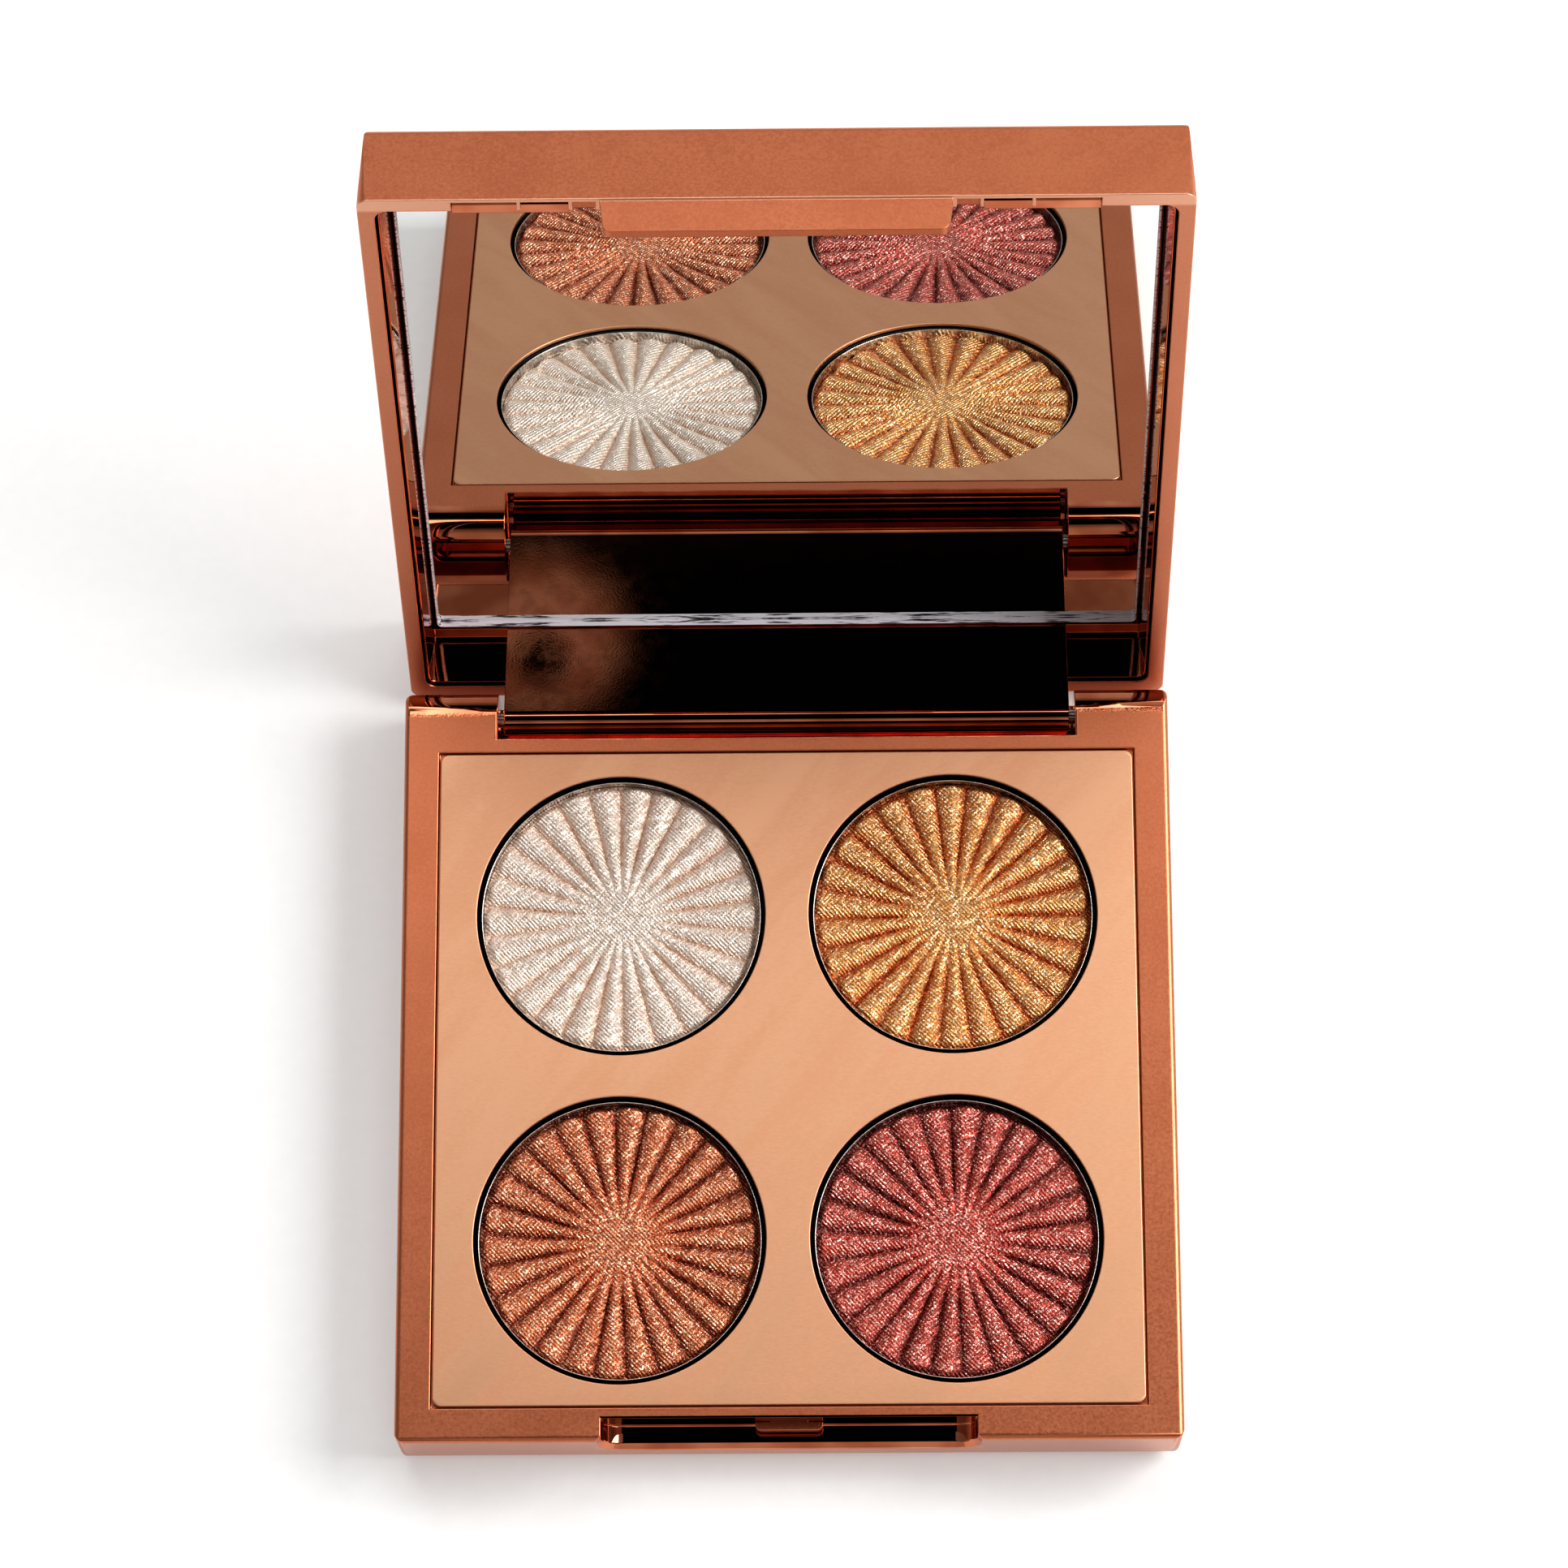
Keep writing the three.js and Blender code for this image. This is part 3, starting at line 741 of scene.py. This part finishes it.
def cake_rings(shade, index, centre, radius, crown):
    """The top face as a list of rings, and how much painted shade each of their points gets from
    how deep in a groove it lies.
    """
    draws = np.random.default_rng(40 + index)
    columns = PETALS * PETAL_STEPS
    turn = np.arange(columns) / columns
    petal = np.floor(turn * PETALS).astype(int)
    across = np.abs((turn * PETALS) % 1.0 * 2 - 1)  # 0 along a petal's crown, 1 in a groove
    convex = 1 - across**PETAL_ROUNDING
    rise_of = 1 + draws.uniform(-0.14, 0.14, PETALS)
    end_of = draws.uniform(-0.012, 0.01, PETALS)
    end = PETAL_END + end_of[petal] - 0.02 * across**2
    angles = turn * math.tau + math.radians(PETAL_TURN[shade])
    rings = []
    grooves = []
    for share in ring_shares():
        x = share * radius * np.cos(angles)
        y = share * radius * np.sin(angles)
        strength = float(smooth(share, EMBOSS_START, EMBOSS_FULL)) ** 0.8
        fade = 1 - smooth(share, end + PETAL_SOFT_END[0], end + PETAL_SOFT_END[1])
        drop = PETAL_RISE * strength * rise_of[petal] * (1 - convex * fade)
        margin = POWDER_EDGE_DROP * float(smooth(share, POWDER_EDGE_START, 1.0))
        bumps = POWDER_UNEVEN * (uneven(x, y, np.random.default_rng(70 + index)) - 1)
        height = np.minimum(crown - drop - margin + bumps, crown)
        rings.append(np.column_stack([centre[0] + x, centre[1] + y, height]))
        # Share of painted shade for a point, from how deep in a groove it lies.
        depth = (drop / PETAL_RISE - GROOVE_SHADE_FROM) * 1.5
        grooves.append(np.clip(depth, 0, 1) * strength)
    return rings, grooves


def cake_faces(ring_count, columns):
    """Faces of the rings from the middle outwards, the wall down to the foot and both ends."""
    faces = []
    for ring in range(ring_count):
        faces.extend(ring_faces(ring * columns, (ring + 1) * columns, columns))
    faces = [tuple(reversed(face)) for face in faces]
    middle = (ring_count + 1) * columns
    faces.extend((s, (s + 1) % columns, middle) for s in range(columns))
    faces.append(tuple(reversed(range(ring_count * columns, middle))))
    return faces


def powder_cake(shade, index):
    """A pressed cake with a sunburst of convex petals and narrow grooves between them."""
    stand_in = "powder_" + shade
    low, high = node_box(stand_in)
    centre = (low + high) / 2
    radius = (high[0] - low[0]) / 2 + CAKE_GROWTH
    rings, grooves = cake_rings(shade, index, centre, radius, high[2])
    columns = len(rings[0])
    foot = np.column_stack([rings[-1][:, :2], np.full(columns, low[2])])
    top_middle = [centre[0], centre[1], float(rings[0][:, 2].mean())]
    points = np.concatenate([*rings, foot, [top_middle]])
    faces = cake_faces(len(rings), columns)
    material = powder(shade)
    piece = make_piece("cake_" + shade, points, faces, material, "base", stand_in)
    # The groove attribute carries the painted groove shade to the powder's material.
    attribute = piece.data.attributes.new("groove", "FLOAT", "POINT")
    values = np.concatenate([*grooves, np.zeros(columns + 1)])
    attribute.data.foreach_set("value", values.astype(np.float32))


def tin_cup(shade, material):
    """A drawn cup with a rounded rim."""
    low, high = node_box("tin_" + shade)
    centre = (low + high) / 2
    radius = (high[0] - low[0]) / 2
    inside = radius - TIN_SHEET
    half = TIN_SHEET / 2
    foot = TIN_FOOT_ROUND
    profile = [
        (AXIS_RADIUS, low[2]),
        *arc(radius - foot, low[2] + foot, foot, -90, 0, 5),
        *arc(radius - half, high[2] - half, half, 0, 180, 6),
        (inside, low[2] + TIN_SHEET),
        (AXIS_RADIUS, low[2] + TIN_SHEET),
    ]
    points, faces = lathe(profile, centre, ROUND_STEPS)
    make_piece("cup_" + shade, points, faces, material, "base", "tin_" + shade)


def face_plate():
    """The cover plate, with smooth holes and softened edges."""
    low, high = node_box("cover_plate")
    boxes = [node_box("tin_" + shade) for shade in SHADES]
    centres = [(b[0] + b[1]) / 2 for b in boxes]

    def outline(inset):
        return rounded_rectangle(low[:2] + inset, high[:2] - inset, PLATE_CORNER - inset)

    def hole(centre):
        return lambda inset: circle_loop(centre, HOLE_RADIUS + inset)

    steps = round_edge(PLATE_EDGE, high[2], low[2])
    points, faces = slab(outline, steps, [hole(c) for c in centres])
    make_piece("face_plate", points, faces, peach_satin(), "base", "cover_plate")


# ---- Pieces of the lid ------------------------------------------------------------------


def mirror_pane():
    """The silvered pane, set back behind its ground edge."""
    low, high = node_box("mirror_glass", shut_lid=True)
    silver_face = low[2] + MIRROR_DEPTH

    def outline(inset):
        grown = MIRROR_EDGE_WIDTH - MIRROR_OVERLAP + inset
        corner = MIRROR_CORNER - MIRROR_EDGE_WIDTH
        return rounded_rectangle(low[:2] + grown, high[:2] - grown, corner)

    points, faces = slab(outline, [(0.0, high[2]), (0.0, silver_face)])
    look = silvered_mirror()
    make_piece("mirror_pane", points, faces, look, "lid", "mirror_glass", shut_lid=True)


def mirror_edge():
    """The ground glass band round the pane."""
    low, high = node_box("mirror_glass", shut_lid=True)
    width = MIRROR_EDGE_WIDTH
    section = [
        (0.0, high[2]),
        (0.0, low[2] + MIRROR_CHAMFER),
        (MIRROR_CHAMFER, low[2]),
        (width - MIRROR_INNER_CHAMFER, low[2]),
        (width, low[2] + MIRROR_INNER_CHAMFER),
        (width, high[2]),
    ]
    points = []
    faces = []
    for inset, height in section:
        loop = rounded_rectangle(low[:2] + inset, high[:2] - inset, MIRROR_CORNER - inset)
        points.extend((x, y, height) for x, y in loop)
    count = len(points) // len(section)
    for index in range(len(section)):
        following = (index + 1) % len(section)
        faces.extend(ring_faces(following * count, index * count, count))
    look = ground_glass()
    make_piece("mirror_edge", points, faces, look, "lid", "mirror_glass", shut_lid=True)


# ---- CAD nodes that stay ----------------------------------------------------------------


def dress(node, material, edge, angle=32):
    """Gives a CAD node its material, and rounds its edges sharper than angle, in degrees."""
    piece = frame["nodes"][node]
    mesh = piece.data
    for slot in piece.material_slots:
        slot.material = material
    if "custom_normal" in mesh.attributes:
        mesh.attributes.remove(mesh.attributes["custom_normal"])
    mesh.shade_smooth()
    weld = piece.modifiers.new("weld", "WELD")
    weld.merge_threshold = WELD_REACH * MM
    flat = piece.modifiers.new("flat", "DECIMATE")
    flat.decimate_type = "DISSOLVE"
    flat.angle_limit = math.radians(1.0)
    bevel = piece.modifiers.new("edges", "BEVEL")
    bevel.limit_method = "ANGLE"
    bevel.angle_limit = math.radians(angle)
    bevel.width = edge * MM
    bevel.segments = BEVEL_SEGMENTS
    bevel.use_clamp_overlap = False
    bevel.harden_normals = True
    flatten_normals(piece)


# ---- Stage ------------------------------------------------------------------------------

CAMERA_PLACE = (8.066, -177.043, 733.182)  # millimetres
CAMERA_TURN = (2.24, 16.59, -2.56)  # about Z, then X, then Z again, in degrees
LENS = 129.38
SENSOR = 36.0
FLOOR_HALF = 4.0  # metres
FLOOR_GLOW = 0.28


def add_camera():
    data = bpy.data.cameras.new("camera")
    data.lens = LENS
    data.sensor_width = SENSOR
    data.clip_start = 0.02
    data.clip_end = 30.0
    made = bpy.data.objects.new("camera", data)
    bpy.context.scene.collection.objects.link(made)
    first, tilt, last = (math.radians(angle) for angle in CAMERA_TURN)
    turn = Matrix.Rotation(first, 4, "Z")
    turn = turn @ Matrix.Rotation(tilt, 4, "X") @ Matrix.Rotation(last, 4, "Z")
    made.matrix_world = Matrix.Translation(Vector(CAMERA_PLACE) * MM) @ turn
    bpy.context.scene.camera = made


def add_softbox(name, place, width, height, radiance):
    """An area light of that radiance, in metres, turned to the middle of the scene."""
    data = bpy.data.lights.new(name, "AREA")
    data.shape = "RECTANGLE"
    data.size = width
    data.size_y = height
    data.energy = radiance * math.pi * width * height
    made = bpy.data.objects.new(name, data)
    bpy.context.scene.collection.objects.link(made)
    made.location = place
    made.rotation_euler = (-Vector(place)).to_track_quat("-Z", "Y").to_euler()
    made.visible_camera = False


def add_floor():
    look = Look("pale_floor")
    look.shader.inputs["Specular IOR Level"].default_value = 0.2
    fine = look.noise(0.4, detail=4.0)
    colour = look.mix(look.step(fine, 0.3, 0.7), (0.69, 0.69, 0.69), (0.71, 0.71, 0.71))
    roughness = look.step(fine, 0.3, 0.7, 0.6, 0.7)
    look.shader.inputs["Emission Color"].default_value = (1, 1, 1, 1)
    look.shader.inputs["Emission Strength"].default_value = FLOOR_GLOW
    material = look.finish(colour, roughness)
    mesh = bpy.data.meshes.new("floor")
    half = FLOOR_HALF
    corners = [(-half, -half, 0), (half, -half, 0), (half, half, 0), (-half, half, 0)]
    mesh.from_pydata(corners, [], [(0, 1, 2, 3)])
    mesh.materials.append(material)
    made = bpy.data.objects.new("floor", mesh)
    bpy.context.scene.collection.objects.link(made)


# The room's brightness by direction. SKY goes by height and SIDES by x, each as the start, the
# end and the levels at both. It is black round LENS_WAY, within the first of LENS_ZONE and
# fading over to the second, in degrees.
SKY = (0.0, 0.55, 0.85, 0.42)
SIDES = ((-0.7, 0.3, 0.6, 0.85), (0.6, 0.95, 1.0, 0.4))
LENS_WAY = (0.01, -0.07, 1.0)
LENS_ZONE = (14.5, 20)
ROOM_COLOUR = (1, 0.985, 0.97, 1)

# Patches added to the room: direction, half angles in degrees where each is full and where it
# ends, and strength. The first two make a small ring that the polished hinge block reflects:
# the second takes the middle of the first away. The others light the barrel and the rim.
GLOWS = (
    ((-0.0545, -0.31, 0.949), 0.35, 1.1, 0.4),
    ((-0.0540, -0.306, 0.950), 0.05, 0.4, -0.4),
    ((0.35, 0.75, 0.56), 10, 34, 0.42),
    ((0.0, -0.81, 0.58), 10, 30, 0.35),
)


def patch(nodes, heading, way, inner, outer, level):
    """The level within inner degrees of a direction, fading to nothing at outer degrees."""
    facing = nodes.node(
        "ShaderNodeVectorMath",
        {0: heading, 1: Vector(way).normalized()},
        operation="DOT_PRODUCT",
    ).outputs["Value"]
    edge = math.cos(math.radians(outer))
    full = math.cos(math.radians(inner))
    return nodes.step(facing, edge, full, 0.0, level)


def add_room():
    """A dim room that is pale near the horizon and black round the lens."""
    world = bpy.data.worlds.new("studio")
    bpy.context.scene.world = world
    world.use_nodes = True
    world.node_tree.nodes.clear()
    nodes = Nodes(world.node_tree)
    heading = nodes.node("ShaderNodeTexCoord", {}).outputs["Generated"]
    split = nodes.node("ShaderNodeSeparateXYZ", {"Vector": heading})
    sides = [nodes.step(split.outputs["X"], *side) for side in SIDES]
    level = nodes.product(nodes.step(split.outputs["Z"], *SKY), *sides)
    lens = patch(nodes, heading, LENS_WAY, *LENS_ZONE, 1.0)
    level = nodes.product(level, nodes.math("SUBTRACT", 1.0, lens))
    glows = [patch(nodes, heading, *glow) for glow in GLOWS]
    level = nodes.total(level, *glows)
    background = nodes.node("ShaderNodeBackground", {"Color": ROOM_COLOUR, "Strength": level})
    output = nodes.node("ShaderNodeOutputWorld", {})
    nodes.feed(output.inputs["Surface"], background.outputs[0])


# ---- Build ------------------------------------------------------------------------------

tin_look = tinplate()
for number, name in enumerate(SHADES):
    powder_cake(name, number)
    tin_cup(name, tin_look)
face_plate()
mirror_pane()
mirror_edge()

dress("base_shell", base_metal(), CASE_EDGE)
dress("lid_cover", lid_metal(), LID_EDGE)
dress("lid_frame", polished_rose_gold("rose_gold_frame", shut_lid=True), FRAME_EDGE)
dress("latch_catch", satin_rose_gold("rose_gold_catch"), FRAME_EDGE)
dress("pan_tray", black_plastic(), FRAME_EDGE)
dress("bottom_label", label_paper(), LABEL_EDGE)
steel = drawn_steel()
dress("hinge_pin_left", steel, FRAME_EDGE, angle=60)
dress("hinge_pin_right", steel, FRAME_EDGE, angle=60)
dress("mirror_tape", foam(), FRAME_EDGE)
glue = dried_glue()
for name in SHADES:
    dress("glue_" + name, glue, FRAME_EDGE)

add_floor()
add_room()
add_softbox("overhead", (-0.12, 0.66, 1.0), 0.9, 0.62, 2.35)
add_softbox("key", (0.86, 0.16, 0.74), 0.7, 0.7, 7.8)
add_camera()
display = bpy.context.scene.view_settings
display.view_transform = "Standard"
display.look = "High Contrast"
display.exposure = -0.35
